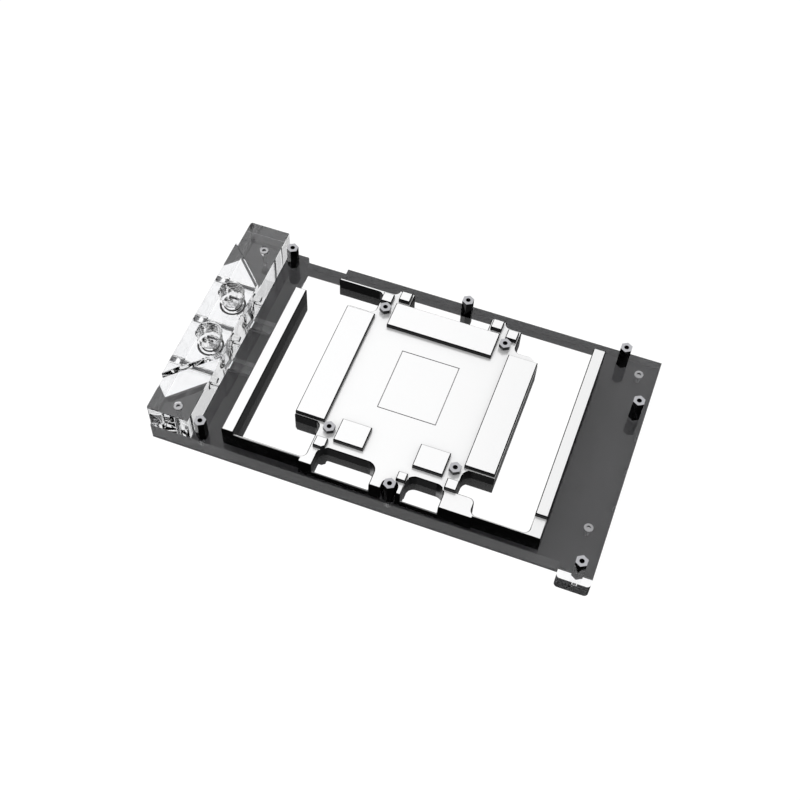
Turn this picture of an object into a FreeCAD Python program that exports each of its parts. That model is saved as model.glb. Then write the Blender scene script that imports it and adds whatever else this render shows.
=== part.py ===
import FreeCAD, Part
import os
import Sketcher

# Liquid cooling cold plate for a graphics or server card.
# Plan coordinates run from the left face of the terminal block (x) and from the
# front of the tab (y). Every piece is moved by the same offset at the end, so the
# origin of the part is the middle of its underside.

doc = FreeCAD.newDocument("cold_plate")
sheet = doc.addObject("Spreadsheet::Sheet", "sizes")
sheet_rows = 0


class Size:
    """A length with its value and the text of the expression that gives it."""

    def __init__(self, value, text):
        self.value = value
        self.text = text

    def __add__(self, other):
        other = as_size(other)
        return Size(self.value + other.value, "(" + self.text + " + " + other.text + ")")

    def __sub__(self, other):
        other = as_size(other)
        return Size(self.value - other.value, "(" + self.text + " - " + other.text + ")")

    def __mul__(self, number):
        return Size(self.value * number, "(" + self.text + " * " + repr(number) + ")")

    def __truediv__(self, number):
        return Size(self.value / number, "(" + self.text + " / " + repr(number) + ")")

    def __neg__(self):
        return Size(-self.value, "(-" + self.text + ")")


def as_size(value):
    return value if isinstance(value, Size) else Size(float(value), repr(float(value)))


def size(name, value):
    """Write one named size into the sheet."""
    global sheet_rows
    sheet_rows += 1
    sheet.set("A%d" % sheet_rows, name)
    sheet.set("B%d" % sheet_rows, repr(float(value)))
    sheet.setAlias("B%d" % sheet_rows, name)
    return Size(float(value), "sizes." + name)


# Plates
plate_width = size("plate_width", 130.0)
plate_thickness = size("plate_thickness", 9.5)
cover_thickness = size("cover_thickness", 1.5)
tab_width = size("tab_width", 16.8)
tab_reach = size("tab_reach", 8.3)
tab_corner = size("tab_corner", 2.0)
back_recess_start = size("back_recess_start", 33.5)
back_recess_length = size("back_recess_length", 23.0)
back_recess_depth = size("back_recess_depth", 3.3)
edge_nick_width = size("edge_nick_width", 1.6)
edge_nick_depth = size("edge_nick_depth", 1.2)
edge_nick_first = size("edge_nick_first", 39.0)
edge_nick_pitch = size("edge_nick_pitch", 21.9)

# Terminal block
terminal_width = size("terminal_width", 22.4)
terminal_height = size("terminal_height", 15.4)
terminal_rise = size("terminal_rise", 4.1)
terminal_middle_length = size("terminal_middle_length", 91.5)
terminal_corner = size("terminal_corner", 1.2)
terminal_centre = size("terminal_centre", 64.8)
port_x = size("port_x", 11.3)
port_pitch = size("port_pitch", 28.2)
port_radius = size("port_radius", 6.58)
port_depth = size("port_depth", 9.0)
port_bore_radius = size("port_bore_radius", 5.2)
cover_gap_start = size("cover_gap_start", 17.4)
cover_gap_length = size("cover_gap_length", 96.6)
cover_gap_reach = size("cover_gap_reach", 23.5)
end_screw_x = size("end_screw_x", 14.5)
end_screw_inset_front = size("end_screw_inset_front", 6.5)
end_screw_inset_back = size("end_screw_inset_back", 16.1)

# Water way inside the acrylic plate
channel_width = size("channel_width", 7.6)
channel_depth = size("channel_depth", 4.0)
channel_floor = size("channel_floor", 3.0)
chamber_length = size("chamber_length", 58.0)
chamber_width = size("chamber_width", 46.0)
chamber_depth = size("chamber_depth", 3.0)
chamber_corner = size("chamber_corner", 4.0)
gasket_width = size("gasket_width", 2.4)
gasket_depth = size("gasket_depth", 1.6)
gasket_margin = size("gasket_margin", 3.0)
cold_screw_margin = size("cold_screw_margin", 9.0)
channel_run = size("channel_run", 15.0)

# Cold plate
cold_left = size("cold_left", 38.8)
cold_length = size("cold_length", 163.6)
end_margin = size("end_margin", 28.6)
cold_front = size("cold_front", 2.2)
cold_back = size("cold_back", 119.2)
flange_height = size("flange_height", 2.8)
core_height = size("core_height", 10.4)
pad_rise = size("pad_rise", 2.5)
land_reach = size("land_reach", 1.0)
left_setback = size("left_setback", 1.2)
left_back_setback = size("left_back_setback", 4.1)
bar_width = size("bar_width", 6.2)
left_bar_length = size("left_bar_length", 95.8)
right_bar_length = size("right_bar_length", 103.6)
right_bar_start = size("right_bar_start", 11.2)
rim_width = size("rim_width", 1.1)
rib_offset = size("rib_offset", 19.2)
rib_width = size("rib_width", 1.5)
slot_reach = size("slot_reach", 11.0)
slot_corner = size("slot_corner", 4.6)
pocket_corner = size("pocket_corner", 3.0)
edge_chamfer = size("edge_chamfer", 0.3)
standoff_notch = size("standoff_notch", 7.6)

# Chip, memory and component pads, all measured from the centre of the chip
chip_offset = size("chip_offset", 81.6)
chip_y = size("chip_y", 63.2)
die_length = size("die_length", 31.0)
die_width = size("die_width", 37.3)
die_line = size("die_line", 0.5)
die_line_depth = size("die_line_depth", 0.25)
memory_width = size("memory_width", 15.4)
memory_length = size("memory_length", 71.0)
memory_gap = size("memory_gap", 72.6)
memory_shift = size("memory_shift", 1.2)
top_memory_length = size("top_memory_length", 56.5)
top_memory_offset = size("top_memory_offset", 29.8)
choke_length = size("choke_length", 15.4)
choke_width = size("choke_width", 13.3)
choke_offset = size("choke_offset", 32.4)
choke_gap = size("choke_gap", 25.5)
small_pad = size("small_pad", 5.9)
smallest_pad = size("smallest_pad", 4.7)

# Standoffs and screws
standoff_flats = size("standoff_flats", 5.5)
standoff_height = size("standoff_height", 13.6)
standoff_bore = size("standoff_bore", 1.25)
standoff_bore_depth = size("standoff_bore_depth", 7.0)
stud_radius = size("stud_radius", 1.5)
stud_length = size("stud_length", 5.0)
thread_clearance = size("thread_clearance", 0.1)
neck_radius = size("neck_radius", 2.2)
neck_height = size("neck_height", 0.9)
chip_hole_x = size("chip_hole_x", 65.2)
chip_hole_y = size("chip_hole_y", 79.5)
short_bore_depth = size("short_bore_depth", 2.6)
screw_radius = size("screw_radius", 1.5)
screw_head_radius = size("screw_head_radius", 2.75)
screw_head_height = size("screw_head_height", 2.0)
end_screw_radius = size("end_screw_radius", 1.25)
end_screw_head_radius = size("end_screw_head_radius", 2.2)
end_screw_head_height = size("end_screw_head_height", 1.6)
end_screw_grip = size("end_screw_grip", 4.0)
side_screw_height = size("side_screw_height", 3.0)
side_screw_depth = size("side_screw_depth", 18.7)
side_screw_sink = size("side_screw_sink", 0.8)
side_screw_head_radius = size("side_screw_head_radius", 2.4)
side_screw_head_height = size("side_screw_head_height", 1.2)
cold_screw_reach = size("cold_screw_reach", 6.0)
cover_screw_radius = size("cover_screw_radius", 1.25)
cover_screw_head_radius = size("cover_screw_head_radius", 2.3)
cover_screw_head_height = size("cover_screw_head_height", 1.2)
cover_screw_inset = size("cover_screw_inset", 9.3)
seal_section = size("seal_section", 1.8)

zero = Size(0.0, "0")
cold_right = cold_left + cold_length
plate_length = cold_right + end_margin
plate_bottom = cover_thickness
plate_top = cover_thickness + plate_thickness
front = tab_reach
back = tab_reach + plate_width
shift_x = -(plate_length / 2)
shift_y = -(back / 2)


def bind(obj, prop, length):
    obj.setExpression(prop, length.text)


def place(obj, z=zero):
    """Move a finished piece from plan coordinates into the frame of the part."""
    obj.Placement = FreeCAD.Placement(FreeCAD.Vector(shift_x.value, shift_y.value, z.value), FreeCAD.Rotation())
    bind(obj, "Placement.Base.x", shift_x)
    bind(obj, "Placement.Base.y", shift_y)
    bind(obj, "Placement.Base.z", as_size(z))
    return obj


def origin_plane(body, role):
    for feature in body.Origin.OriginFeatures:
        if feature.Role == role:
            return feature


def sketch_on(body, name, z=zero):
    sketch = body.newObject("Sketcher::SketchObject", name)
    sketch.AttachmentSupport = [(origin_plane(body, "XY_Plane"), "")]
    sketch.MapMode = "FlatFace"
    bind(sketch, "AttachmentOffset.Base.z", as_size(z))
    return sketch


def hold(sketch, kind, geometry, point, length):
    """Fix one coordinate of a point of the sketch to a named size."""
    if length.value == 0.0:
        axis = -2 if kind == "DistanceX" else -1
        sketch.addConstraint(Sketcher.Constraint("PointOnObject", geometry, point, axis))
        return
    index = sketch.addConstraint(Sketcher.Constraint(kind, -1, 1, geometry, point, length.value))
    bind(sketch, "Constraints[%d]" % index, length)


def outline(sketch, corners):
    """Add one closed polygon whose corners follow the sheet."""
    points = [FreeCAD.Vector(as_size(x).value, as_size(y).value, 0) for x, y in corners]
    first = sketch.GeometryCount
    count = len(points)
    for index in range(count):
        sketch.addGeometry(Part.LineSegment(points[index], points[(index + 1) % count]), False)
    for index in range(count):
        following = first + (index + 1) % count
        sketch.addConstraint(Sketcher.Constraint("Coincident", first + index, 2, following, 1))
    for index, (x, y) in enumerate(corners):
        hold(sketch, "DistanceX", first + index, 1, as_size(x))
        hold(sketch, "DistanceY", first + index, 1, as_size(y))


def box_corners(x, y, length, width):
    return [(x, y), (x + length, y), (x + length, y + width), (x, y + width)]


def circle(sketch, x, y, radius):
    index = sketch.addGeometry(
        Part.Circle(FreeCAD.Vector(x.value, y.value, 0), FreeCAD.Vector(0, 0, 1), radius.value), False)
    hold(sketch, "DistanceX", index, 3, x)
    hold(sketch, "DistanceY", index, 3, y)
    constraint = sketch.addConstraint(Sketcher.Constraint("Radius", index, radius.value))
    bind(sketch, "Constraints[%d]" % constraint, radius)


def pad(body, name, sketch, height):
    feature = body.newObject("PartDesign::Pad", name)
    feature.Profile = sketch
    bind(feature, "Length", height)
    sketch.Visibility = False
    doc.recompute()
    return feature


def pocket(body, name, sketch, depth, upwards=False):
    feature = body.newObject("PartDesign::Pocket", name)
    feature.Profile = sketch
    feature.Reversed = upwards
    bind(feature, "Length", depth)
    sketch.Visibility = False
    before = body.Shape.Volume
    doc.recompute()
    if body.Shape.Volume >= before - 1e-6:
        raise RuntimeError(name + " cuts nothing")
    return feature


def round_upright_edges(body, name, places, radius):
    """Fillet the upright edges that stand over the given plan points."""
    base = body.Tip
    names = []
    for x, y in places:
        for index, edge in enumerate(base.Shape.Edges):
            ends = [vertex.Point for vertex in edge.Vertexes]
            upright = len(ends) == 2 and abs(ends[0].x - ends[1].x) < 1e-6 and abs(ends[0].y - ends[1].y) < 1e-6
            here = upright and abs(ends[0].x - x.value) < 1e-4 and abs(ends[0].y - y.value) < 1e-4
            if here:
                names.append("Edge%d" % (index + 1))
    feature = body.newObject("PartDesign::Fillet", name)
    feature.Base = (base, names)
    bind(feature, "Radius", radius)
    doc.recompute()
    return feature


def chamfer_level(body, name, height, width):
    """Chamfer every edge that lies at the given height of the body."""
    base = body.Tip
    names = []
    for index, edge in enumerate(base.Shape.Edges):
        bounds = edge.BoundBox
        if abs(bounds.ZMin - height.value) < 1e-5 and abs(bounds.ZMax - height.value) < 1e-5:
            names.append("Edge%d" % (index + 1))
    feature = body.newObject("PartDesign::Chamfer", name)
    feature.Base = (base, names)
    bind(feature, "Size", width)
    doc.recompute()
    return feature


def new_body(label):
    body = doc.addObject("PartDesign::Body", label)
    body.Label = label
    return body


# Positions of the standoffs and screws in plan
chip_centre = (cold_left + chip_offset, front + chip_y)
land_offset = size("land_offset", 41.2)
slot_one_offset = size("slot_one_offset", 7.1)
slot_one_length = size("slot_one_length", 29.7)
slot_gap = size("slot_gap", 16.2)
slot_two_length = size("slot_two_length", 19.0)
land_one = cold_left + land_offset
slot_one = land_one + slot_one_offset
slot_one_end = slot_one + slot_one_length
slot_two = slot_one_end + slot_gap
slot_two_end = slot_two + slot_two_length
standoff_row_front = size("standoff_row_front", 3.7)
standoff_row_back = size("standoff_row_back", 122.7)
left_standoff_x = size("left_standoff_x", 27.3)
middle_standoff_x = slot_one_end + size("middle_standoff_offset", 9.8)
right_standoff_inset = size("right_standoff_inset", 19.4)
side_standoff_inset = size("side_standoff_inset", 5.2)
side_standoff_y = size("side_standoff_y", 93.1)
tab_standoff_inset = size("tab_standoff_inset", 7.5)
tab_standoff_y = size("tab_standoff_y", 5.0)

tall_places = [
    (left_standoff_x, front + standoff_row_front),
    (left_standoff_x, front + standoff_row_back),
    (middle_standoff_x, front + standoff_row_front),
    (middle_standoff_x, front + standoff_row_back),
    (plate_length - right_standoff_inset, front + standoff_row_back),
    (plate_length - side_standoff_inset, front + side_standoff_y),
    (plate_length - tab_standoff_inset, tab_standoff_y),
]
short_places = []
for side_x in (-1, 1):
    for side_y in (-1, 1):
        short_places.append((chip_centre[0] + chip_hole_x * (side_x / 2), chip_centre[1] + chip_hole_y * (side_y / 2)))

port_places = []
for side in (-1, 1):
    port_places.append((port_x, front + terminal_centre + port_pitch * (side / 2)))

side_screw_rows = [front + terminal_centre + port_pitch * step for step in (-1, 0, 1)]

end_screw_places = [
    (end_screw_x, front + end_screw_inset_front),
    (end_screw_x, back - end_screw_inset_back),
]

cold_screw_places = []
for side_x in (-1, 1):
    for side_y in (-1, 1):
        x = chip_centre[0] + (chamber_length / 2 + cold_screw_margin) * side_x
        y = chip_centre[1] + (chamber_width / 2 + cold_screw_margin) * side_y
        cold_screw_places.append((x, y))

cover_screw_x = plate_length - cover_screw_inset
cover_screw_places = [
    (cover_screw_x, front + size("cover_screw_front", 22.6)),
    (cover_screw_x, front + size("cover_screw_back", 118.8)),
]


def holes(body, name, z, places, radius, depth, upwards=False):
    sketch = sketch_on(body, name + "_sketch", z)
    for x, y in places:
        circle(sketch, x, y, radius)
    return pocket(body, name, sketch, depth, upwards)


def side_holes(body, name, rows, radius, depth):
    """Blind holes that start in the left face and run along x."""
    sketch = body.newObject("Sketcher::SketchObject", name + "_sketch")
    sketch.AttachmentSupport = [(origin_plane(body, "YZ_Plane"), "")]
    sketch.MapMode = "FlatFace"
    for y in rows:
        circle(sketch, y, side_screw_height, radius)
    return pocket(body, name, sketch, depth, True)


# Acrylic plate: outline with the tab and the recess in the back edge
acrylic = new_body("acrylic_plate")
acrylic_outline = sketch_on(acrylic, "acrylic_outline")
tab_left = plate_length - tab_width
recess_end = back_recess_start + back_recess_length
outline(acrylic_outline, [
    (zero, front),
    (tab_left, front),
    (tab_left, zero),
    (plate_length, zero),
    (plate_length, back),
    (recess_end, back),
    (recess_end, back - back_recess_depth),
    (back_recess_start, back - back_recess_depth),
    (back_recess_start, back),
    (zero, back),
])
pad(acrylic, "acrylic_pad", acrylic_outline, plate_thickness)
round_upright_edges(acrylic, "tab_corners", [(tab_left, zero), (plate_length, zero)], tab_corner)
chamber_x = chip_centre[0] - chamber_length / 2
chamber_y = chip_centre[1] - chamber_width / 2
chamber_sketch = sketch_on(acrylic, "chamber_sketch", plate_thickness)
outline(chamber_sketch, box_corners(chamber_x, chamber_y, chamber_length, chamber_width))
pocket(acrylic, "chamber", chamber_sketch, chamber_depth)
groove_inner = gasket_margin
groove_outer = gasket_margin + gasket_width
groove_sketch = sketch_on(acrylic, "groove_sketch", plate_thickness)
for reach in (groove_inner, groove_outer):
    outline(groove_sketch, box_corners(chamber_x - reach, chamber_y - reach,
                                       chamber_length + reach * 2, chamber_width + reach * 2))
pocket(acrylic, "groove", groove_sketch, gasket_depth)
channel_start = port_x - port_bore_radius
for number, (x, y) in enumerate(port_places):
    # Each channel runs from its port under the flange and then turns into the chamber
    channel_sketch = sketch_on(acrylic, "channel_sketch_%d" % number, channel_floor)
    target = chip_centre[1] + (chamber_width / 2 - channel_width) * (1 if number else -1)
    corner = chamber_x - channel_run
    side = channel_width / 2
    low, high = (y - side, y + side)
    outline(channel_sketch, [
        (channel_start, low),
        (corner, low),
        (chamber_x, target - side),
        (chamber_x + channel_width, target - side),
        (chamber_x + channel_width, target + side),
        (chamber_x, target + side),
        (corner, high),
        (channel_start, high),
    ])
    pocket(acrylic, "channel_%d" % number, channel_sketch, channel_depth, True)
holes(acrylic, "port_wells", plate_thickness, port_places, port_bore_radius, plate_thickness - channel_floor)
stud_hole = stud_radius + thread_clearance
holes(acrylic, "stud_holes", plate_thickness, tall_places, stud_hole, stud_length + thread_clearance)
screw_hole = screw_radius + thread_clearance
holes(acrylic, "screw_holes", plate_thickness, cold_screw_places, screw_hole, plate_thickness)
head_hole = screw_head_radius + thread_clearance
holes(acrylic, "cold_head_holes", zero, cold_screw_places, head_hole, screw_head_height, True)
end_hole = end_screw_radius + thread_clearance
holes(acrylic, "end_screw_holes", plate_thickness, end_screw_places, end_hole, end_screw_grip + thread_clearance)
cover_hole = cover_screw_radius + thread_clearance
holes(acrylic, "cover_screw_holes", plate_thickness, cover_screw_places, cover_hole, plate_thickness)
holes(acrylic, "cover_head_holes", plate_thickness, cover_screw_places, cover_screw_head_radius + thread_clearance,
      cover_screw_head_height)
nick_sketch = sketch_on(acrylic, "nick_sketch", plate_thickness)
for step in (0, 1, 2):
    nick_y = front + edge_nick_first + edge_nick_pitch * step - edge_nick_width / 2
    outline(nick_sketch, box_corners(plate_length - edge_nick_depth, nick_y, edge_nick_depth * 2, edge_nick_width))
pocket(acrylic, "edge_nicks", nick_sketch, plate_thickness)
place(acrylic, plate_bottom)

# Cover plate: dark sheet with a trapezoid left open under the ports
cover = new_body("cover_plate")
cover_outline = sketch_on(cover, "cover_outline")
gap_low = front + cover_gap_start
gap_high = gap_low + cover_gap_length
outline(cover_outline, [
    (zero, front),
    (plate_length, front),
    (plate_length, back),
    (recess_end, back),
    (recess_end, back - back_recess_depth),
    (back_recess_start, back - back_recess_depth),
    (back_recess_start, back),
    (zero, back),
    (zero, gap_high),
    (cover_gap_reach, gap_high - cover_gap_reach),
    (cover_gap_reach, gap_low + cover_gap_reach),
    (zero, gap_low),
])
pad(cover, "cover_pad", cover_outline, cover_thickness)
holes(cover, "cover_tapped_holes", cover_thickness, cover_screw_places, cover_hole, cover_thickness)
place(cover)

# Terminal block: low bar, raised middle with slanted ends, two threaded ports
terminal = new_body("terminal_block")
bar_sketch = sketch_on(terminal, "bar_sketch")
outline(bar_sketch, [(zero, front), (terminal_width, front), (terminal_width, back), (zero, back)])
pad(terminal, "bar", bar_sketch, terminal_height)
middle_low = front + terminal_centre - terminal_middle_length / 2
middle_high = middle_low + terminal_middle_length
middle_sketch = sketch_on(terminal, "middle_sketch")
outline(middle_sketch, [
    (zero, middle_low),
    (terminal_width, middle_low + terminal_width),
    (terminal_width, middle_high - terminal_width),
    (zero, middle_high),
])
pad(terminal, "middle", middle_sketch, terminal_height + terminal_rise)
round_upright_edges(terminal, "outer_corners", [(zero, front), (zero, back)], terminal_corner)
port_top = terminal_height + terminal_rise
holes(terminal, "port_bores", port_top, port_places, port_bore_radius, port_top)
holes(terminal, "port_threads", port_top, port_places, port_radius, port_depth)
holes(terminal, "end_bores", terminal_height, end_screw_places, end_hole, terminal_height)
holes(terminal, "end_head_holes", terminal_height, end_screw_places, end_screw_head_radius + thread_clearance,
      end_screw_head_height)
side_holes(terminal, "side_bores", side_screw_rows, screw_hole, side_screw_depth)
side_holes(terminal, "side_head_holes", side_screw_rows, side_screw_head_radius + thread_clearance,
           side_screw_sink + side_screw_head_height)
seal_groove = sketch_on(terminal, "seal_groove")
seal_inner = port_bore_radius + size("seal_wall", 1.0)
seal_outer = seal_inner + seal_section + thread_clearance * 2
for x, y in port_places:
    circle(seal_groove, x, y, seal_inner)
    circle(seal_groove, x, y, seal_outer)
pocket(terminal, "seal_grooves", seal_groove, seal_section, True)
place(terminal, plate_top)

# Cold plate: flange, raised core with its pockets, then bars and pads on top
cold = new_body("cold_plate")
y_front = front + cold_front
y_left = y_front + left_setback
y_back = front + cold_back
y_left_back = y_back - left_back_setback
land_two_end = slot_two_end + size("land_two_reach", 17.0)
core_left = chip_centre[0] - size("core_half_left", 51.9)
core_right = chip_centre[0] + size("core_half_right", 51.9)
y_land = y_front - land_reach
flange_sketch = sketch_on(cold, "flange_sketch")
step_x = cold_left + size("back_step", 44.2)
outline(flange_sketch, [
    (cold_left, y_left),
    (land_one, y_left),
    (land_one, y_land),
    (slot_one, y_land),
    (slot_one, y_front),
    (slot_one_end, y_front),
    (slot_one_end, y_land),
    (slot_two, y_land),
    (slot_two, y_front),
    (slot_two_end, y_front),
    (slot_two_end, y_land),
    (land_two_end, y_land),
    (land_two_end, y_front),
    (cold_right, y_front),
    (cold_right, y_back),
    (step_x, y_back),
    (step_x, y_left_back),
    (cold_left, y_left_back),
])
pad(cold, "flange", flange_sketch, flange_height)
y_slot = y_front + slot_reach
shoulder_left = cold_left + size("shoulder_left_offset", 43.6)
y_shoulder = front + size("shoulder_front", 25.8)
y_core_back = chip_centre[1] + size("core_reach_back", 36.7)
y_rib = y_left_back - rib_width
rib_start = cold_left + rib_offset
y_inlet = y_left_back
inlet_x = cold_left + size("inlet_offset", 51.8)
y_ear = y_back - size("ear_setback", 0.9)
ear_left = cold_left + size("ear_left_offset", 60.2)
ledge_y = chip_centre[1] + top_memory_offset + memory_width + size("ledge_margin", 0.8)
ear_right = ear_left + size("shelf_length", 42.6)
ear_right_end = ear_right + size("ear_right_length", 7.8)
shoulder_right = ear_right_end + size("shoulder_right_offset", 9.1)
shoulder_slope = size("shoulder_slope", 5.0)
y_shoulder_right = y_core_back + size("shoulder_step", 1.7)
notch_x = slot_two_end + size("notch_wall", 5.2)
y_notch = front + size("notch_back", 26.0)
y_sill = front + size("sill", 12.0)
sill_end = notch_x + size("sill_length", 10.1)
right_bar_x = cold_right - bar_width
rim_inner = y_front + rim_width
y_right_bar = y_front + right_bar_start
left_bar_x = cold_left + bar_width
core_sketch = sketch_on(cold, "core_sketch")
core_corners = [
    (cold_left, y_left),
    (land_one, y_left),
    (land_one, y_land),
    (slot_one, y_land),
    (slot_one, y_slot),
    (slot_one_end, y_slot),
    (slot_one_end, y_land),
    (slot_two, y_land),
    (slot_two, y_slot),
    (slot_two_end, y_slot),
    (slot_two_end, y_land),
    (land_two_end, y_land),
    (land_two_end, y_front),
    (cold_right, y_front),
    (cold_right, y_right_bar + right_bar_length),
    (right_bar_x, y_right_bar + right_bar_length),
    (right_bar_x, rim_inner),
    (sill_end, rim_inner),
    (sill_end, y_sill),
    (notch_x, y_sill),
    (notch_x, y_notch),
    (core_right, y_notch),
    (core_right, y_core_back - shoulder_slope / 2),
    (core_right - shoulder_slope, y_shoulder_right),
    (shoulder_right, y_shoulder_right),
    (shoulder_right, y_inlet),
    (ear_right_end, y_inlet),
    (ear_right_end, y_ear),
    (ear_right, y_ear),
    (ear_right, ledge_y),
    (ear_left, ledge_y),
    (ear_left, y_ear),
    (inlet_x, y_ear),
    (inlet_x, y_inlet),
    (rib_start, y_inlet),
    (rib_start, y_rib),
    (step_x, y_rib),
    (step_x, y_core_back),
    (core_left, y_core_back),
    (core_left, y_shoulder),
    (shoulder_left, y_shoulder),
    (shoulder_left, y_left + rim_width),
    (left_bar_x, y_left + rim_width),
    (left_bar_x, y_left + left_bar_length),
    (cold_left, y_left + left_bar_length),
]
outline(core_sketch, core_corners)
pad(cold, "core", core_sketch, core_height)
notch_places = [
    (slot_one, y_slot),
    (slot_one_end, y_slot),
    (slot_two, y_slot),
    (slot_two_end, y_slot),
    (notch_x, y_notch),
]
round_upright_edges(cold, "slot_rounds", notch_places, slot_corner)
pocket_places = [
    (right_bar_x, rim_inner),
    (sill_end, rim_inner),
    (sill_end, y_sill),
    (shoulder_left, y_left + rim_width),
    (shoulder_left, y_shoulder),
    (step_x, y_core_back),
    (step_x, y_rib),
    (shoulder_right, y_shoulder_right),
    (ear_right_end, y_inlet),
    (inlet_x, y_inlet),
]
round_upright_edges(cold, "pocket_rounds", pocket_places, pocket_corner)
top_sketch = sketch_on(cold, "top_sketch")
outline(top_sketch, box_corners(cold_left, y_left, bar_width, left_bar_length))
outline(top_sketch, box_corners(right_bar_x, y_right_bar, bar_width, right_bar_length))
memory_y = chip_centre[1] - memory_length / 2 - memory_shift
outline(top_sketch, box_corners(chip_centre[0] - memory_gap / 2 - memory_width, memory_y, memory_width, memory_length))
outline(top_sketch, box_corners(chip_centre[0] + memory_gap / 2, memory_y, memory_width, memory_length))
outline(top_sketch, box_corners(chip_centre[0] - top_memory_length / 2, chip_centre[1] + top_memory_offset,
                                top_memory_length, memory_width))
for side in (-1, 1):
    centre = chip_centre[0] + (choke_gap + choke_length) * (side / 2)
    outline(top_sketch, box_corners(centre - choke_length / 2, chip_centre[1] - choke_offset - choke_width,
                                    choke_length, choke_width))
small_places = [
    (size("pad_a_x", -36.8), size("pad_a_y", 43.7), small_pad),
    (size("pad_b_x", -28.1), size("pad_b_y", 47.6), small_pad),
    (size("pad_c_x", 22.3), size("pad_c_y", 47.6), small_pad),
    (size("pad_d_x", 31.4), size("pad_d_y", 43.8), small_pad),
    (size("pad_e_x", -36.5), size("pad_e_y", -51.9), small_pad),
    (size("pad_f_x", 31.0), size("pad_f_y", -51.8), small_pad),
    (size("pad_g_x", 7.9), size("pad_g_y", -55.5), smallest_pad),
]
for x, y, side in small_places:
    outline(top_sketch, box_corners(chip_centre[0] + x, chip_centre[1] + y, side, side))
pad(cold, "tops", top_sketch, core_height + pad_rise)
chamfer_level(cold, "top_edges", core_height + pad_rise, edge_chamfer)
die_sketch = sketch_on(cold, "die_sketch", core_height)
for reach in (zero, die_line):
    outline(die_sketch, box_corners(chip_centre[0] - die_length / 2 + reach, chip_centre[1] - die_width / 2 + reach,
                                    die_length - reach * 2, die_width - reach * 2))
pocket(cold, "die_mark", die_sketch, die_line_depth)
notch_sketch = sketch_on(cold, "standoff_notch_sketch", core_height)
notch_left = middle_standoff_x - standoff_notch / 2
outline(notch_sketch, box_corners(notch_left, front - standoff_notch, standoff_notch,
                                  standoff_row_front + standoff_notch * 1.5))
pocket(cold, "standoff_notch", notch_sketch, core_height)
notch_end = front + standoff_row_front + standoff_notch / 2
round_upright_edges(cold, "standoff_notch_round",
                    [(notch_left, notch_end), (notch_left + standoff_notch, notch_end)], standoff_notch * 0.45)
holes(cold, "chip_stud_holes", core_height, short_places, stud_hole, stud_length + thread_clearance)
holes(cold, "cold_screw_taps", zero, cold_screw_places, screw_hole, cold_screw_reach + thread_clearance, True)
place(cold, plate_top)


def primitive(kind, name, x, y, z, **sizes):
    obj = doc.addObject(kind, name)
    for prop, length in sizes.items():
        bind(obj, prop, length)
    bind(obj, "Placement.Base.x", x + shift_x)
    bind(obj, "Placement.Base.y", y + shift_y)
    bind(obj, "Placement.Base.z", as_size(z))
    return obj


def hexagon(name, x, y, z, flats, height):
    """Hexagonal prism with two corners on the y direction."""
    prism = doc.addObject("Part::Prism", name)
    prism.Polygon = 6
    prism.Placement = FreeCAD.Placement(FreeCAD.Vector(), FreeCAD.Rotation(FreeCAD.Vector(0, 0, 1), 30))
    bind(prism, "Circumradius", Size(flats.value / 1.7320508, "(" + flats.text + " / 1.7320508)"))
    bind(prism, "Height", height)
    bind(prism, "Placement.Base.x", x + shift_x)
    bind(prism, "Placement.Base.y", y + shift_y)
    bind(prism, "Placement.Base.z", as_size(z))
    return prism


def fuse(name, parts):
    obj = doc.addObject("Part::MultiFuse", name)
    obj.Shapes = parts
    return obj


def cut(name, base, tool):
    obj = doc.addObject("Part::Cut", name)
    obj.Base = base
    obj.Tool = tool
    return obj


def group(label, parts):
    obj = doc.addObject("Part::Compound", label)
    obj.Label = label
    obj.Links = parts
    return obj


def tall_standoff(name, x, y):
    body = hexagon(name + "_hex", x, y, plate_top, standoff_flats, standoff_height)
    stud = primitive("Part::Cylinder", name + "_stud", x, y, plate_top - stud_length,
                     Radius=stud_radius, Height=stud_length + standoff_height / 2)
    bore = primitive("Part::Cylinder", name + "_bore", x, y, plate_top + standoff_height - standoff_bore_depth,
                     Radius=standoff_bore, Height=standoff_bore_depth * 2)
    return cut(name, fuse(name + "_solid", [body, stud]), bore)


def short_standoff(name, x, y):
    seat = plate_top + core_height
    height = standoff_height - core_height
    body = hexagon(name + "_hex", x, y, seat + neck_height, standoff_flats, height - neck_height)
    neck = primitive("Part::Cylinder", name + "_neck", x, y, seat, Radius=neck_radius, Height=height)
    stud = primitive("Part::Cylinder", name + "_stud", x, y, seat - stud_length,
                     Radius=stud_radius, Height=stud_length + height / 2)
    bore = primitive("Part::Cylinder", name + "_bore", x, y, seat + height - short_bore_depth,
                     Radius=standoff_bore, Height=short_bore_depth * 2)
    return cut(name, fuse(name + "_solid", [body, neck, stud]), bore)


def screw(name, x, y, head_z, direction, shank_radius, shank_length, head_radius, head_height):
    """Socket head screw: its head starts at head_z and its shank runs in the given direction."""
    head_start = head_z if direction > 0 else head_z - head_height
    head = primitive("Part::Cylinder", name + "_head", x, y, head_start, Radius=head_radius, Height=head_height)
    length = shank_length + head_height / 2
    shank_start = head_z + head_height / 2 if direction > 0 else head_z - head_height - shank_length
    shank = primitive("Part::Cylinder", name + "_shank", x, y, shank_start, Radius=shank_radius, Height=length)
    socket_start = head_z - head_height / 2
    socket = hexagon(name + "_socket", x, y, socket_start, head_radius * 0.9, head_height)
    return cut(name, fuse(name + "_solid", [head, shank]), socket)


group("tall_standoffs", [tall_standoff("tall_%d" % number, x, y) for number, (x, y) in enumerate(tall_places)])
group("short_standoffs", [short_standoff("short_%d" % number, x, y) for number, (x, y) in enumerate(short_places)])

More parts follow.
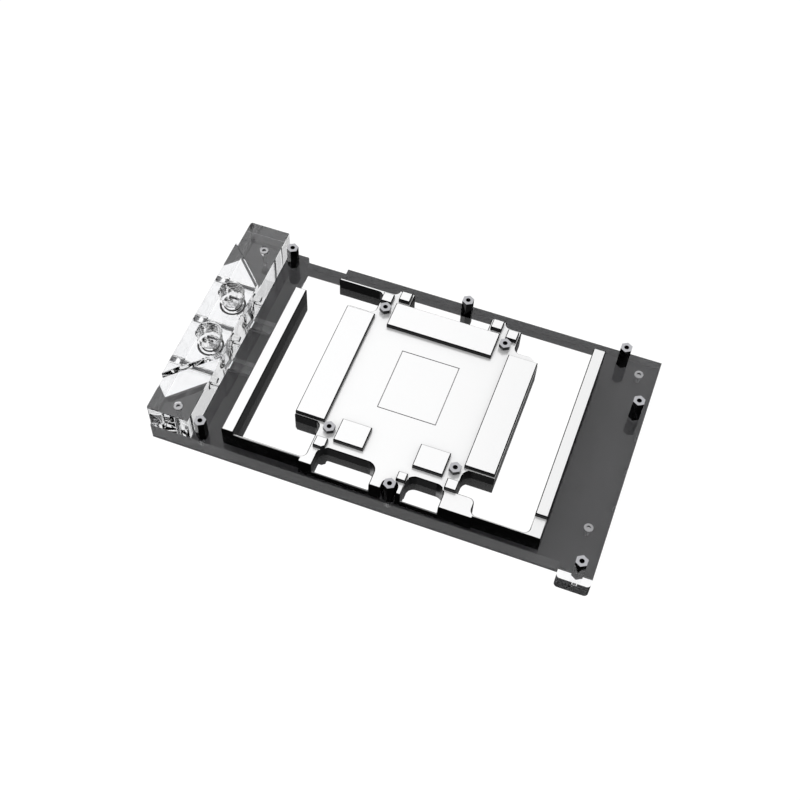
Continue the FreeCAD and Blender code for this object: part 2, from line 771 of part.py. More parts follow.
end_head_z = plate_top + terminal_height
end_shank = terminal_height - end_screw_head_height + end_screw_grip
group("terminal_end_screws", [
    screw("end_%d" % number, x, y, end_head_z, -1, end_screw_radius, end_shank, end_screw_head_radius,
          end_screw_head_height)
    for number, (x, y) in enumerate(end_screw_places)])


def lying_cylinder(name, x, y, z, radius, length):
    """Cylinder whose axis runs along x."""
    obj = doc.addObject("Part::Cylinder", name)
    obj.Placement = FreeCAD.Placement(FreeCAD.Vector(), FreeCAD.Rotation(FreeCAD.Vector(0, 1, 0), 90))
    bind(obj, "Radius", radius)
    bind(obj, "Height", length)
    bind(obj, "Placement.Base.x", x + shift_x)
    bind(obj, "Placement.Base.y", y + shift_y)
    bind(obj, "Placement.Base.z", z)
    return obj


def side_screw(name, y):
    """Screw that lies across the terminal block with its head in the left face."""
    z = plate_top + side_screw_height
    head = lying_cylinder(name + "_head", side_screw_sink, y, z, side_screw_head_radius, side_screw_head_height)
    shank = lying_cylinder(name + "_shank", side_screw_sink + side_screw_head_height / 2, y, z, screw_radius,
                           side_screw_depth - side_screw_sink - side_screw_head_height / 2 - thread_clearance)
    return fuse(name, [head, shank])


group("terminal_screws", [side_screw("side_screw_%d" % number, y) for number, y in enumerate(side_screw_rows)])

cold_shank = plate_thickness - screw_head_height + cold_screw_reach
group("cold_plate_screws", [
    screw("cold_screw_%d" % number, x, y, plate_bottom, 1, screw_radius, cold_shank, screw_head_radius,
          screw_head_height)
    for number, (x, y) in enumerate(cold_screw_places)])

cover_shank = plate_top - cover_screw_head_height
group("cover_screws", [
    screw("cover_screw_%d" % number, x, y, plate_top, -1, cover_screw_radius, cover_shank, cover_screw_head_radius,
          cover_screw_head_height)
    for number, (x, y) in enumerate(cover_screw_places)])


def seal_ring(name, x, y):
    outer = primitive("Part::Cylinder", name + "_outer", x, y, plate_top,
                      Radius=seal_outer - thread_clearance, Height=seal_section)
    inner = primitive("Part::Cylinder", name + "_inner", x, y, plate_top - seal_section,
                      Radius=seal_inner + thread_clearance, Height=seal_section * 3)
    return cut(name, outer, inner)


group("port_seals", [seal_ring("port_seal_%d" % number, x, y) for number, (x, y) in enumerate(port_places)])

gasket = new_body("cold_plate_seal")
gasket_sketch = sketch_on(gasket, "gasket_sketch")
for reach in (groove_inner + thread_clearance, groove_outer - thread_clearance):
    outline(gasket_sketch, box_corners(chamber_x - reach, chamber_y - reach,
                                       chamber_length + reach * 2, chamber_width + reach * 2))
pad(gasket, "gasket_pad", gasket_sketch, gasket_depth)
place(gasket, plate_top - gasket_depth)

doc.recompute()

nodes = [
    "acrylic_plate", "cover_plate", "terminal_block", "cold_plate", "tall_standoffs", "short_standoffs",
    "terminal_end_screws", "terminal_screws", "cold_plate_screws", "cover_screws", "port_seals", "cold_plate_seal",
]
for obj in doc.Objects:
    if "Invalid" in obj.State or "Error" in obj.State:
        raise RuntimeError(obj.Name + " failed: " + str(obj.State))
for label in nodes:
    shape = doc.getObjectsByLabel(label)[0].Shape
    if shape.isNull() or not shape.isValid():
        raise RuntimeError(label + " has no valid shape")

os.makedirs("parts", exist_ok=True)
for label in nodes:
    node = doc.getObjectsByLabel(label)[0]
    node.Shape.exportStep("parts/" + label + ".step")
    bounds = node.Shape.BoundBox
    print("%-20s solids %2d volume %9.1f x %.1f..%.1f y %.1f..%.1f z %.1f..%.1f" % (
        label, len(node.Shape.Solids), node.Shape.Volume, bounds.XMin, bounds.XMax,
        bounds.YMin, bounds.YMax, bounds.ZMin, bounds.ZMax))
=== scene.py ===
import math

import bmesh
import bpy
from mathutils import Matrix, Vector
from mathutils.bvhtree import BVHTree


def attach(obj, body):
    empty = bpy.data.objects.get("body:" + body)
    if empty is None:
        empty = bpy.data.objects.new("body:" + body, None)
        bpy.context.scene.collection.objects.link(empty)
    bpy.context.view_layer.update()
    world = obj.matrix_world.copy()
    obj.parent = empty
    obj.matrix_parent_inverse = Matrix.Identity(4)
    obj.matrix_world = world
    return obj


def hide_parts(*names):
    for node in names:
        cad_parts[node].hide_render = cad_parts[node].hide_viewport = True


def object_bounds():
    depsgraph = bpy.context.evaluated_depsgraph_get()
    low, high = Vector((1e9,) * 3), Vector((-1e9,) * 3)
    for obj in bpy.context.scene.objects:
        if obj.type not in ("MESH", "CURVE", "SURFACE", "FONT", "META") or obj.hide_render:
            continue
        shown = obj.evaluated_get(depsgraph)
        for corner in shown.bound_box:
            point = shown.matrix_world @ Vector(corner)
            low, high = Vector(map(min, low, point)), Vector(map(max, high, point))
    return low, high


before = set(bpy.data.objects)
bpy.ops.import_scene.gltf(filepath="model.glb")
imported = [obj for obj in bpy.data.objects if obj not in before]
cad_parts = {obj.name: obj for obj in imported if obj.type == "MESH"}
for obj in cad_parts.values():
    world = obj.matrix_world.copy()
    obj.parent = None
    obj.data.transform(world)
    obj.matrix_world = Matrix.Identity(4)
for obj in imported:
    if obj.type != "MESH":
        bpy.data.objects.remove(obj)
cad_low, cad_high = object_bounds()

MM = 0.001

# Camera: place and turn as in the photograph, for an image of 800 x 800
IMAGE_SIDE = 800.0
FOCAL_LENGTH_PX = 1257.08
PRINCIPAL_POINT_PX = (350.6, 467.7)
SENSOR_MM = 36.0
CAMERA_PLACE_MM = (219.02, -278.21, 541.0)
CAMERA_RIGHT = (0.932614, 0.360875, 0.0)
CAMERA_UP = (-0.308716, 0.797820, 0.517859)
CAMERA_BACK = (0.186882, -0.482963, 0.855466)

# Light
SKY_LEVEL = 0.72
PANEL_LEVEL = 1.08
ROOM_LEVEL = 0.1
KEY_POWER = 5.0
FLOOR_SIZE = 8.0
FLOOR_GLOW = 0.94
FLOOR_SHADE = 0.12
FLOOR_DROP = 0.0002
KEY_PLACE = (-0.25, -0.55, 0.95)
KEY_SIDE = 0.9

# Small moves and reaches in metres, which keep faces apart or merge doubled points
COVER_LIFT = 0.00006
SLAB_DROP = 0.00003
MERGE_REACH = 1e-6

# Faces that meet at less than this angle, in radians, become one face
FLAT_ANGLE = 0.01

# Heights in metres between which the metal plate turns from its pocket finish to its raised finish
RAISED_LEVELS = (0.0165, 0.0175)

# Width and depth of the seals and their grooves as drawn, as a share of the CAD's
SEAL_SCALE = 0.6

# Places and sizes of the part that its pieces here need, in millimetres from its front left lower corner
PORT_X = 11.3
PORT_ROWS = (59.0, 87.2)
PORT_RADIUS = 6.58
PORT_LEVELS = (21.5, 30.5)
BLOCK_TOPS = (26.4, 30.5)
PLATE_TOP = 11.0
SEAL_RADII = (6.1, 8.4)
SEAL_START = 6.2
SEAL_START_SHOWN = 5.8
THREAD_PITCH = 1.337
THREAD_DEPTH = 0.35
SCREW_ROWS = (44.9, 73.1, 101.3)
SCREW_LEVEL = 14.0
SCREW_SHIFT = (1.2, -1.7)
SCREW_REACH = 2.7
FLANGE_LEVEL = 13.8
FLANGE_LEVEL_SHOWN = 15.1
SLOTS = ((87.1, 116.8), (133.0, 152.0))
SLOT_FRONT = (9.5, 10.6)
SLOT_BACK = 21.5
SLOT_CORNER = 4.6
TAB_BACK = 8.3
DIE_LINE_LEVEL = 21.15
CORE_LEVEL = 21.4
PAD_LEVEL = 23.9
CAD_CHAMFER = 0.3
EDGE_CHAMFER = 0.45
BLOCK_CHAMFER = 0.35
CHIP_CENTRE = (120.4, 71.5)
CHIP_REACH = 20.0
STUD_PLACES = ((87.8, 31.75), (153.0, 31.75), (87.8, 111.25), (153.0, 111.25))
STUD_REACH = 2.5
COVER_REACH = 23.5
COVER_REACH_SHOWN = 20.4
LEVEL_HAIR = 0.01


def to_frame(x_mm, y_mm, z_mm):
    """A plan point of the part, from its front left lower corner, in metres in the frame."""
    return Vector((cad_low.x + x_mm * MM, cad_low.y + y_mm * MM, cad_low.z + z_mm * MM))


def add_camera():
    data = bpy.data.cameras.new("camera")
    data.sensor_width = SENSOR_MM
    data.lens = FOCAL_LENGTH_PX / IMAGE_SIDE * SENSOR_MM
    data.shift_x = (IMAGE_SIDE / 2 - PRINCIPAL_POINT_PX[0]) / IMAGE_SIDE
    data.shift_y = (PRINCIPAL_POINT_PX[1] - IMAGE_SIDE / 2) / IMAGE_SIDE
    data.clip_start = 0.01
    data.clip_end = 50.0
    camera = bpy.data.objects.new("camera", data)
    turn = Matrix((CAMERA_RIGHT, CAMERA_UP, CAMERA_BACK)).transposed()
    camera.matrix_world = Matrix.Translation(to_frame(*CAMERA_PLACE_MM)) @ turn.to_4x4()
    bpy.context.scene.collection.objects.link(camera)
    bpy.context.scene.camera = camera


class Nodes:
    """A material or world node tree with short calls to add and link nodes."""

    def __init__(self, tree):
        self.tree = tree
        tree.nodes.clear()

    def add(self, kind, **values):
        node = self.tree.nodes.new(kind)
        for name, value in values.items():
            if name in node.inputs:
                node.inputs[name].default_value = value
            else:
                setattr(node, name, value)
        return node

    def link(self, source, target):
        self.tree.links.new(source, target)

    def math(self, operation, first, second=None, third=None):
        node = self.tree.nodes.new("ShaderNodeMath")
        node.operation = operation
        for index, value in enumerate((first, second, third)):
            if value is None:
                continue
            if isinstance(value, (int, float)):
                node.inputs[index].default_value = value
            else:
                self.link(value, node.inputs[index])
        return node.outputs[0]

    def mix(self, factor, first, second):
        node = self.tree.nodes.new("ShaderNodeMix")
        node.data_type = "RGBA"
        for socket, value in ((node.inputs[0], factor), (node.inputs[6], first), (node.inputs[7], second)):
            if isinstance(value, (int, float, tuple)):
                socket.default_value = value
            else:
                self.link(value, socket)
        return node.outputs[2]


def new_material(name):
    material = bpy.data.materials.new(name)
    material.use_nodes = True
    return material, Nodes(material.node_tree)


def finish_material(nodes, shader):
    output = nodes.add("ShaderNodeOutputMaterial")
    nodes.link(shader.outputs[0], output.inputs["Surface"])


def noise(nodes, scale, detail=3.0):
    place = nodes.add("ShaderNodeTexCoord")
    texture = nodes.add("ShaderNodeTexNoise", Scale=scale, Detail=detail)
    nodes.link(place.outputs["Object"], texture.inputs["Vector"])
    return texture.outputs["Fac"]


def bump(nodes, height, strength, distance, shader):
    node = nodes.add("ShaderNodeBump", Strength=strength, Distance=distance)
    nodes.link(height, node.inputs["Height"])
    nodes.link(node.outputs[0], shader.inputs["Normal"])


def ramp(nodes, source, low, high):
    node = nodes.add("ShaderNodeMapRange", interpolation_type="SMOOTHSTEP")
    node.inputs["From Min"].default_value = low
    node.inputs["From Max"].default_value = high
    nodes.link(source, node.inputs["Value"])
    return node.outputs[0]


def metal(name, color, roughness, spread, grain_scale, bump_distance, painted_side_shade=1.0):
    """Plated or bare metal with fine uneven polish, and sides that may carry painted shade, darker than
    the ends.
    """
    material, nodes = new_material(name)
    shader = nodes.add("ShaderNodeBsdfPrincipled", Metallic=1.0)
    grain = noise(nodes, grain_scale)
    dark = tuple(c * 0.97 for c in color) + (1.0,)
    shade = nodes.mix(grain, dark, color + (1.0,))
    # Faces that face sideways get their colour scaled down: painted shade standing in for dark
    # reflections.
    if painted_side_shade < 1.0:
        place = nodes.add("ShaderNodeTexCoord")
        facing = nodes.add("ShaderNodeSeparateXYZ")
        nodes.link(place.outputs["Normal"], facing.inputs[0])
        end = ramp(nodes, nodes.math("ABSOLUTE", facing.outputs["Z"]), 0.5, 0.9)
        side = nodes.mix(grain, tuple(c * painted_side_shade for c in dark[:3]) + (1.0,),
                         tuple(c * painted_side_shade for c in color) + (1.0,))
        shade = nodes.mix(end, side, shade)
    nodes.link(shade, shader.inputs["Base Color"])
    nodes.link(nodes.math("MULTIPLY_ADD", grain, spread, roughness), shader.inputs["Roughness"])
    bump(nodes, grain, 0.1, bump_distance, shader)
    finish_material(nodes, shader)
    return material


def nickel_with_painted_walls(name):
    """Plated faces: mirror floors in the pockets and satin tops, with walls, broken edges and the die-line
    groove painted near black as painted reflection and painted shade.
    """
    material, nodes = new_material(name)
    shader = nodes.add("ShaderNodeBsdfPrincipled")
    grain = noise(nodes, 60.0)
    place = nodes.add("ShaderNodeTexCoord")
    facing = nodes.add("ShaderNodeSeparateXYZ")
    nodes.link(place.outputs["Normal"], facing.inputs[0])
    spot = nodes.add("ShaderNodeSeparateXYZ")
    nodes.link(place.outputs["Object"], spot.inputs[0])
    flat = ramp(nodes, nodes.math("ABSOLUTE", facing.outputs["Z"]), 0.8, 0.98)
    raised = ramp(nodes, spot.outputs["Z"], *RAISED_LEVELS)
    # The floor of the die-line groove is darkened towards the wall colour: painted shade in the groove.
    painted_groove_shade = ramp(nodes, spot.outputs["Z"], (DIE_LINE_LEVEL + 0.15) * MM, (DIE_LINE_LEVEL + 0.05) * MM)
    painted_groove_shade = nodes.math("MULTIPLY", painted_groove_shade, raised)
    flat = nodes.math("MULTIPLY", flat, nodes.math("MULTIPLY_ADD", painted_groove_shade, -0.7, 1.0))
    # The top colour is the plating's own; the wall colour, used on walls and broken edges, is near black:
    # a painted dark reflection.
    top = nodes.mix(grain, (0.96, 0.96, 0.965, 1.0), (0.985, 0.985, 0.985, 1.0))
    wall = nodes.mix(grain, (0.022, 0.022, 0.023, 1.0), (0.034, 0.034, 0.035, 1.0))
    nodes.link(nodes.mix(flat, wall, top), shader.inputs["Base Color"])
    duller = nodes.math("MULTIPLY", raised, -0.45)
    metallic = nodes.math("MULTIPLY_ADD", flat, nodes.math("ADD", duller, -0.05), 1.0)
    nodes.link(metallic, shader.inputs["Metallic"])
    satin = nodes.math("MULTIPLY_ADD", raised, 0.22, 0.03)
    walls = nodes.math("MULTIPLY_ADD", flat, -0.2, 0.2)
    rough = nodes.math("MULTIPLY_ADD", satin, flat, walls)
    nodes.link(nodes.math("MULTIPLY_ADD", grain, 0.02, rough), shader.inputs["Roughness"])
    bump(nodes, grain, 0.1, 0.00001, shader)
    finish_material(nodes, shader)
    return material


def acrylic(name, milled_sides=0.0):
    """Polished clear acrylic with very faint unevenness, and sides that may be duller from milling."""
    material, nodes = new_material(name)
    shader = nodes.add("ShaderNodeBsdfPrincipled", IOR=1.49, Roughness=0.0)
    haze = noise(nodes, 35.0)
    tint = nodes.mix(haze, (0.96, 0.965, 0.975, 1.0), (0.985, 0.985, 0.99, 1.0))
    nodes.link(tint, shader.inputs["Base Color"])
    if milled_sides:
        place = nodes.add("ShaderNodeTexCoord")
        facing = nodes.add("ShaderNodeSeparateXYZ")
        nodes.link(place.outputs["Normal"], facing.inputs[0])
        side = ramp(nodes, nodes.math("ABSOLUTE", facing.outputs["Z"]), 0.5, 0.1)
        spot = nodes.add("ShaderNodeSeparateXYZ")
        nodes.link(place.outputs["Object"], spot.inputs[0])
        tab_back = cad_low.y + TAB_BACK * MM
        behind_tab = ramp(nodes, spot.outputs["Y"], tab_back - 0.0015, tab_back - 0.0005)
        side = nodes.math("MULTIPLY", side, behind_tab)
        marks = nodes.math("MULTIPLY_ADD", noise(nodes, 700.0), 0.6, 0.7)
        share = nodes.math("MULTIPLY", nodes.math("MULTIPLY", side, marks), -milled_sides)
        nodes.link(nodes.math("ADD", share, 1.0), shader.inputs["Transmission Weight"])
    else:
        shader.inputs["Transmission Weight"].default_value = 1.0
    finish_material(nodes, shader)
    return material


def dark_coat(name, color, roughness):
    material, nodes = new_material(name)
    shader = nodes.add("ShaderNodeBsdfPrincipled")
    speck = noise(nodes, 900.0)
    dark = tuple(c * 0.85 for c in color) + (1.0,)
    light = tuple(c * 1.12 for c in color) + (1.0,)
    nodes.link(nodes.mix(speck, dark, light), shader.inputs["Base Color"])
    nodes.link(nodes.math("MULTIPLY_ADD", speck, 0.1, roughness), shader.inputs["Roughness"])
    bump(nodes, speck, 0.15, 0.00001, shader)
    finish_material(nodes, shader)
    return material


def paint(node_name, material):
    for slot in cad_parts[node_name].material_slots:
        slot.material = material


def add_piece(name, mesh, material):
    piece = bpy.data.objects.new(name, mesh)
    bpy.context.scene.collection.objects.link(piece)
    mesh.materials.append(material)
    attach(piece, "root")
    return piece


def narrow_cover_gap(builder):
    """Draw the sloped cut-out of the cover less deep, with its slopes as they were."""
    for vertex in builder.verts:
        spot = plan(vertex.co)
        if abs(spot.x - COVER_REACH) < LEVEL_HAIR:
            step = COVER_REACH - COVER_REACH_SHOWN
            side = -step if spot.y < sum(PORT_ROWS) / 2 else step
            vertex.co += Vector((-step, side, 0.0)) * MM


def move_top(builder, lift):
    """Move the top face up or down by a hair."""
    top = max(vertex.co.z for vertex in builder.verts)
    for vertex in builder.verts:
        if vertex.co.z > top - abs(lift):
            vertex.co.z += lift


def shape_cover(builder):
    move_top(builder, COVER_LIFT)
    narrow_cover_gap(builder)


def lower_slab(builder):
    move_top(builder, -SLAB_DROP)


def node_mesh(node_name):
    """A clean copy of a node's mesh, with its doubled points merged."""
    builder = bmesh.new()
    builder.from_mesh(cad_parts[node_name].data)
    bmesh.ops.remove_doubles(builder, verts=builder.verts, dist=MERGE_REACH)
    return builder


def add_replacement(name, builder, node_name, material):
    mesh = bpy.data.meshes.new(name)
    builder.to_mesh(mesh)
    builder.free()
    piece = add_piece(name, mesh, material)
    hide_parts(node_name)


def plan(point):
    """Millimetres from the part's front left lower corner."""
    return (point - cad_low) / MM


def flat_distance(point, centre):
    return math.hypot(point[0] - centre[0], point[1] - centre[1])


def breaks_edge(edge, tree):
    """Whether an edge of the cold plate lies between a top face and its wall, with room for a chamfer."""
    if len(edge.link_faces) != 2 or not edge.is_convex:
        return False
    wall, top = sorted(edge.link_faces, key=lambda face: face.normal.z)
    if abs(wall.normal.z) > 0.1 or top.normal.z < 0.99:
        return False
    first, last = (vertex.co for vertex in edge.verts)
    middle = plan((first + last) / 2)
    if min(abs(middle.z - level) for level in (FLANGE_LEVEL_SHOWN, CORE_LEVEL)) > LEVEL_HAIR:
        return False
    if max(abs(middle.x - CHIP_CENTRE[0]), abs(middle.y - CHIP_CENTRE[1])) < CHIP_REACH:
        return False
    if any(flat_distance(middle, centre) < STUD_REACH for centre in STUD_PLACES):
        return False
    inward = -wall.normal.normalized()
    lifted = Vector((0.0, 0.0, 0.1 * MM))
    for share in (0.02, 0.25, 0.5, 0.75, 0.98):
        if tree.ray_cast(first.lerp(last, share) + lifted, inward, EDGE_CHAMFER * 1.3 * MM)[0] is not None:
            return False
    return True


def chamfer(builder, edges, reach):
    bmesh.ops.bevel(builder, geom=edges, offset=reach * MM, offset_type="OFFSET", segments=1,
                    profile=0.5, affect="EDGES", clamp_overlap=False)


def add_box(builder, low, high):
    box = bmesh.ops.create_cube(builder, size=1.0)["verts"]
    for vertex in box:
        spot = [low[axis] if vertex.co[axis] < 0.0 else high[axis] for axis in range(3)]
        vertex.co = to_frame(*spot)


def slot_corner(start):
    """The space in the left back corner of a slot, a hair smaller than the slot."""
    hair = 0.02
    builder = bmesh.new()
    middle = Vector((start + SLOT_CORNER, SLOT_BACK - SLOT_CORNER))
    radius = SLOT_CORNER - hair
    open_end = 12.0
    right = start + 2.0 * SLOT_CORNER
    points = [(start + hair, open_end), (right, open_end), (right, SLOT_BACK - hair)]
    arc_steps = 12
    for step in range(arc_steps + 1):
        turn = math.radians(90.0 + 90.0 / arc_steps * step)
        points.append((middle.x + radius * math.cos(turn), middle.y + radius * math.sin(turn)))
    levels = (FLANGE_LEVEL, PAD_LEVEL + 0.2)
    loops = [[builder.verts.new(to_frame(x, y, level)) for x, y in points] for level in levels]
    builder.faces.new(reversed(loops[0]))
    builder.faces.new(loops[1])
    for index in range(len(points)):
        after = (index + 1) % len(points)
        builder.faces.new((loops[0][index], loops[0][after], loops[1][after], loops[1][index]))
    return builder


def combined(first, second, operation):
    """One closed mesh from two, by union or difference."""
    items = []
    for builder in (first, second):
        mesh = bpy.data.meshes.new("shell")
        builder.to_mesh(mesh)
        builder.free()
        item = bpy.data.objects.new("shell", mesh)
        bpy.context.scene.collection.objects.link(item)
        items.append(item)
    change = items[0].modifiers.new("change", "BOOLEAN")
    change.operation = operation
    change.solver = "EXACT"
    change.object = items[1]
    result = bmesh.new()
    result.from_object(items[0], bpy.context.evaluated_depsgraph_get())
    for item in items:
        bpy.data.objects.remove(item)
    bmesh.ops.remove_doubles(result, verts=result.verts, dist=MERGE_REACH)
    result.normal_update()
    return result


def is_chamfer_foot(vertex):
    return abs(plan(vertex.co).z - (PAD_LEVEL - CAD_CHAMFER)) < LEVEL_HAIR


def add_cold_plate(material):
    """The cold plate with the edges of its pockets, slots and pads broken."""
    builder = node_mesh("cold_plate")
    sills = bmesh.new()
    for start, end in SLOTS:
        add_box(sills, (start, SLOT_FRONT[0], PLATE_TOP), (end, SLOT_FRONT[1], FLANGE_LEVEL))
    builder = combined(builder, sills, "UNION")
    builder = combined(builder, slot_corner(SLOTS[0][0]), "DIFFERENCE")
    for vertex in builder.verts:
        spot = plan(vertex.co)
        if abs(spot.z - FLANGE_LEVEL) < LEVEL_HAIR:
            vertex.co.z = cad_low.z + FLANGE_LEVEL_SHOWN * MM
        if abs(spot.z - PAD_LEVEL) > LEVEL_HAIR:
            continue
        below = [edge.other_vert(vertex) for edge in vertex.link_edges]
        below = [other for other in below if is_chamfer_foot(other)]
        if not below:
            continue
        nearest = min(below, key=lambda other: (other.co.xy - vertex.co.xy).length)
        step = (vertex.co.xy - nearest.co.xy) * (EDGE_CHAMFER / CAD_CHAMFER - 1.0)
        vertex.co.x += step.x
        vertex.co.y += step.y
    for vertex in builder.verts:
        if is_chamfer_foot(vertex):
            vertex.co.z = cad_low.z + (PAD_LEVEL - EDGE_CHAMFER) * MM
    bmesh.ops.dissolve_limit(builder, angle_limit=FLAT_ANGLE, verts=builder.verts, edges=builder.edges)
    builder.normal_update()
    tree = BVHTree.FromBMesh(builder)
    edges = [edge for edge in builder.edges if breaks_edge(edge, tree)]
    chamfer(builder, edges, EDGE_CHAMFER)
    add_replacement("milled_plate", builder, "cold_plate", material)


def narrow_seals(builder):
    """Draw the grooves round the water ways, or the rings in them, closer to the bore."""
    for vertex in builder.verts:
        spot = plan(vertex.co)
        for row in PORT_ROWS:
            centre = Vector((PORT_X, row))
            reach = spot.xy - centre
            if SEAL_RADII[0] < reach.length < SEAL_RADII[1] and spot.z < PLATE_TOP + 2.0:
                radius = SEAL_START_SHOWN + (reach.length - SEAL_START) * SEAL_SCALE
                place = centre + reach.normalized() * radius
                vertex.co = to_frame(place.x, place.y, PLATE_TOP + (spot.z - PLATE_TOP) * SEAL_SCALE)


def shift_side_screws(builder):
    """Move the lying screws, or the holes for them, to their rows in the photograph."""
    for vertex in builder.verts:
        spot = plan(vertex.co)
        if spot.x > 20.0:
            continue
        if min(flat_distance((spot.y, spot.z), (row, SCREW_LEVEL)) for row in SCREW_ROWS) < SCREW_REACH:
            inside = SCREW_SHIFT[0] if spot.x > LEVEL_HAIR else 0.0
            vertex.co += Vector((inside, SCREW_SHIFT[1], 0.0)) * MM


def add_terminal_block(material):
    """The clear block with threads cut in its ports and its top edges broken."""
    builder = node_mesh("terminal_block")
    narrow_seals(builder)
    shift_side_screws(builder)
    for row in PORT_ROWS:
        cut_thread(builder, (PORT_X, row))
    bmesh.ops.dissolve_limit(builder, angle_limit=FLAT_ANGLE, verts=builder.verts, edges=builder.edges)
    builder.normal_update()
    edges = []
    for edge in builder.edges:
        slopes = sorted(face.normal.z for face in edge.link_faces)
        level = plan(edge.verts[0].co).z
        if edge.is_convex and slopes[-1] > 0.99 and abs(slopes[0]) < 0.5:
            if min(abs(level - top) for top in BLOCK_TOPS) < LEVEL_HAIR:
                edges.append(edge)
    chamfer(builder, edges, BLOCK_CHAMFER)
    add_replacement("clear_block", builder, "terminal_block", material)


def add_moved_copy(name, node_name, move, material):
    """Replace a node with a copy of it whose points the given function moves."""
    builder = node_mesh(node_name)
    move(builder)
    add_replacement(name, builder, node_name, material)


def cut_thread(builder, centre):
    """Draw the plain wall of a port as a helical thread, without moving its rims."""
    low_level, top_level = PORT_LEVELS
    rims = {}
    for level in PORT_LEVELS:
        rims[level] = [vertex for vertex in builder.verts
                       if abs(plan(vertex.co).z - level) < LEVEL_HAIR
                       and abs(flat_distance(plan(vertex.co), centre) - PORT_RADIUS) < 0.02]
        rims[level].sort(key=lambda vertex: math.atan2(*(plan(vertex.co).xy - Vector(centre)).yx))
    rim_points = set(rims[low_level] + rims[top_level])
    old_wall = [face for face in builder.faces
                if abs(face.normal.z) < 0.1 and all(vertex in rim_points for vertex in face.verts)]
    bmesh.ops.delete(builder, geom=old_wall, context="FACES")
    steps = round((top_level - low_level) / THREAD_PITCH * 6)
    rows = [rims[low_level]]
    for step in range(1, steps):
        level = low_level + (top_level - low_level) * step / steps
        fade = min(1.0, (level - low_level) / THREAD_PITCH, (top_level - level) / THREAD_PITCH)
        row = []
        for vertex in rims[low_level]:
            offset = plan(vertex.co).xy - Vector(centre)
            turn = math.atan2(offset.y, offset.x)
            wave = 0.5 - 0.5 * math.cos(2.0 * math.pi * level / THREAD_PITCH - turn)
            radius = PORT_RADIUS - THREAD_DEPTH * fade * wave
            spot = Vector(centre) + offset.normalized() * radius
            row.append(builder.verts.new(to_frame(spot.x, spot.y, level)))
        rows.append(row)
    rows.append(rims[top_level])
    count = len(rows[0])
    for lower, upper in zip(rows, rows[1:]):
        for index in range(count):
            after = (index + 1) % count
            builder.faces.new((lower[after], lower[index], upper[index], upper[after]))


def world_light():
    world = bpy.data.worlds.new("studio")
    bpy.context.scene.world = world
    world.use_nodes = True
    nodes = Nodes(world.node_tree)
    place = nodes.add("ShaderNodeTexCoord")
    split = nodes.add("ShaderNodeSeparateXYZ")
    nodes.link(place.outputs["Generated"], split.inputs[0])
    path = nodes.add("ShaderNodeLightPath")
    # A wide soft panel hangs behind the object and over it, and the room behind the camera is darker
    upward = split.outputs["Z"]
    behind = split.outputs["Y"]
    sideways = nodes.add("ShaderNodeMapRange", interpolation_type="SMOOTHSTEP")
    sideways.inputs["From Min"].default_value = 0.06
    sideways.inputs["From Max"].default_value = 0.0
    nodes.link(split.outputs["X"], sideways.inputs["Value"])
    lean = nodes.math("MULTIPLY_ADD", behind, 0.9, upward)
    panel = nodes.add("ShaderNodeMapRange", interpolation_type="SMOOTHSTEP")
    panel.inputs["From Min"].default_value = 0.35
    panel.inputs["From Max"].default_value = 0.95
    panel.inputs["To Min"].default_value = ROOM_LEVEL
    panel.inputs["To Max"].default_value = PANEL_LEVEL
    nodes.link(nodes.math("MULTIPLY", lean, sideways.outputs[0]), panel.inputs["Value"])
    direct = nodes.math("MAXIMUM", path.outputs["Is Camera Ray"], path.outputs["Is Transmission Ray"])
    level = nodes.add("ShaderNodeMix")
    nodes.link(path.outputs["Is Glossy Ray"], level.inputs[0])
    level.inputs[2].default_value = SKY_LEVEL
    nodes.link(panel.outputs[0], level.inputs[3])
    total = nodes.add("ShaderNodeMix")
    nodes.link(direct, total.inputs[0])
    nodes.link(level.outputs[0], total.inputs[2])
    total.inputs[3].default_value = 1.0
    background = nodes.add("ShaderNodeBackground")
    background.inputs["Color"].default_value = (1.0, 1.0, 1.0, 1.0)
    nodes.link(total.outputs[0], background.inputs["Strength"])
    output = nodes.add("ShaderNodeOutputWorld")
    nodes.link(background.outputs[0], output.inputs["Surface"])


def add_key_light():
    data = bpy.data.lights.new("soft_panel", "AREA")
    data.shape = "RECTANGLE"
    data.size = KEY_SIDE
    data.size_y = KEY_SIDE
    data.energy = KEY_POWER
    lamp = bpy.data.objects.new("soft_panel", data)
    lamp.location = KEY_PLACE
    lamp.rotation_euler = (-lamp.location).to_track_quat("-Z", "Y").to_euler()
    lamp.visible_glossy = False
    lamp.visible_transmission = False
    bpy.context.scene.collection.objects.link(lamp)


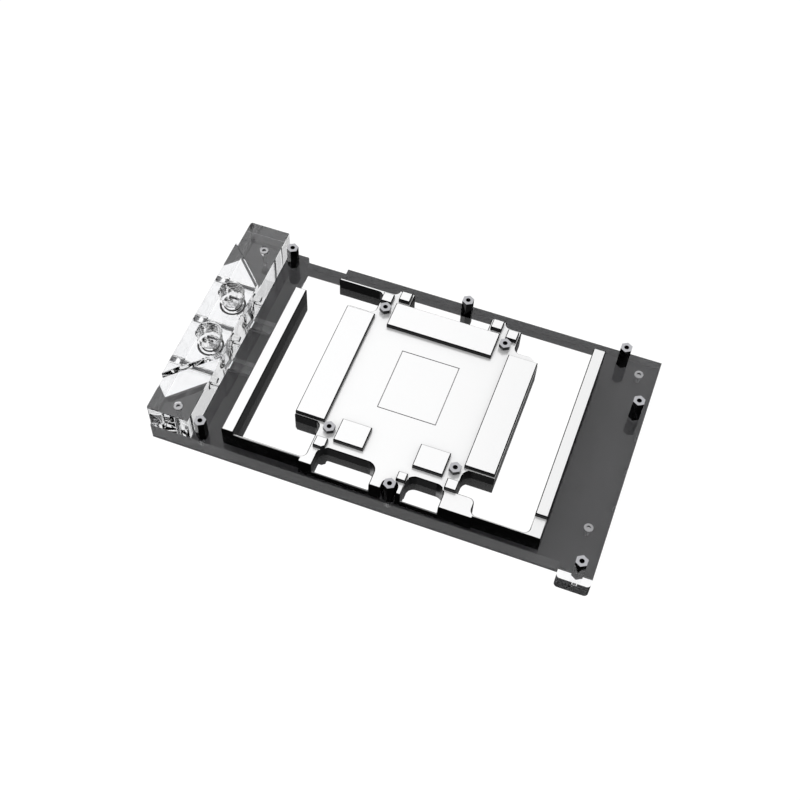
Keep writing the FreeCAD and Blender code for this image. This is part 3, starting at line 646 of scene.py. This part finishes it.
def add_floor():
    mesh = bpy.data.meshes.new("floor")
    builder = bmesh.new()
    bmesh.ops.create_grid(builder, x_segments=4, y_segments=4, size=FLOOR_SIZE / 2)
    builder.to_mesh(mesh)
    builder.free()
    floor = bpy.data.objects.new("floor", mesh)
    floor.location.z = cad_low.z - FLOOR_DROP
    bpy.context.scene.collection.objects.link(floor)
    material, nodes = new_material("pale_floor")
    path = nodes.add("ShaderNodeLightPath")
    glow = nodes.add("ShaderNodeEmission", Strength=FLOOR_GLOW)
    glow.inputs["Color"].default_value = (1.0, 1.0, 1.0, 1.0)
    shadowed = nodes.add("ShaderNodeBsdfDiffuse")
    shadowed.inputs["Color"].default_value = (FLOOR_SHADE, FLOOR_SHADE, FLOOR_SHADE, 1.0)
    white = nodes.add("ShaderNodeAddShader")
    nodes.link(glow.outputs[0], white.inputs[0])
    nodes.link(shadowed.outputs[0], white.inputs[1])
    pale = nodes.add("ShaderNodeBsdfDiffuse")
    pale.inputs["Color"].default_value = (0.82, 0.82, 0.82, 1.0)
    black = nodes.add("ShaderNodeEmission", Strength=0.02)
    ambient = nodes.add("ShaderNodeMixShader")
    nodes.link(path.outputs["Is Glossy Ray"], ambient.inputs[0])
    nodes.link(pale.outputs[0], ambient.inputs[1])
    nodes.link(black.outputs[0], ambient.inputs[2])
    lit = nodes.math("MAXIMUM", path.outputs["Is Camera Ray"], path.outputs["Is Transmission Ray"])
    shown = nodes.add("ShaderNodeMixShader")
    nodes.link(lit, shown.inputs[0])
    nodes.link(ambient.outputs[0], shown.inputs[1])
    nodes.link(white.outputs[0], shown.inputs[2])
    finish_material(nodes, shown)
    mesh.materials.append(material)


scene = bpy.context.scene
scene.view_settings.view_transform = "Standard"
add_camera()
world_light()
add_key_light()
add_floor()

clear = acrylic("clear_acrylic")
slab = acrylic("milled_acrylic", 0.1)
nickel = nickel_with_painted_walls("bright_nickel")
# The last argument paints the sides of the standoffs and screws darker: painted shade.
standoff_metal = metal("plated_brass", (0.45, 0.45, 0.47), 0.05, 0.03, 300.0, 0.00001, 0.08)
steel = metal("stainless_steel", (0.45, 0.45, 0.46), 0.15, 0.08, 400.0, 0.00002, 0.3)
screw_steel = metal("burnished_steel", (0.13, 0.13, 0.135), 0.25, 0.08, 400.0, 0.00002)
silicone = acrylic("clear_silicone")
cover_coat = dark_coat("dark_coat", (0.088, 0.088, 0.092), 0.55)
rubber = dark_coat("black_rubber", (0.02, 0.02, 0.02), 0.6)

paint("tall_standoffs", standoff_metal)
paint("short_standoffs", standoff_metal)
paint("terminal_end_screws", steel)
paint("cold_plate_screws", steel)
paint("cover_screws", steel)
paint("cold_plate_seal", rubber)
add_moved_copy("cover_sheet", "cover_plate", shape_cover, cover_coat)
add_moved_copy("clear_slab", "acrylic_plate", lower_slab, slab)
add_cold_plate(nickel)
add_terminal_block(clear)
add_moved_copy("side_screws", "terminal_screws", shift_side_screws, screw_steel)
add_moved_copy("seal_rings", "port_seals", narrow_seals, silicone)
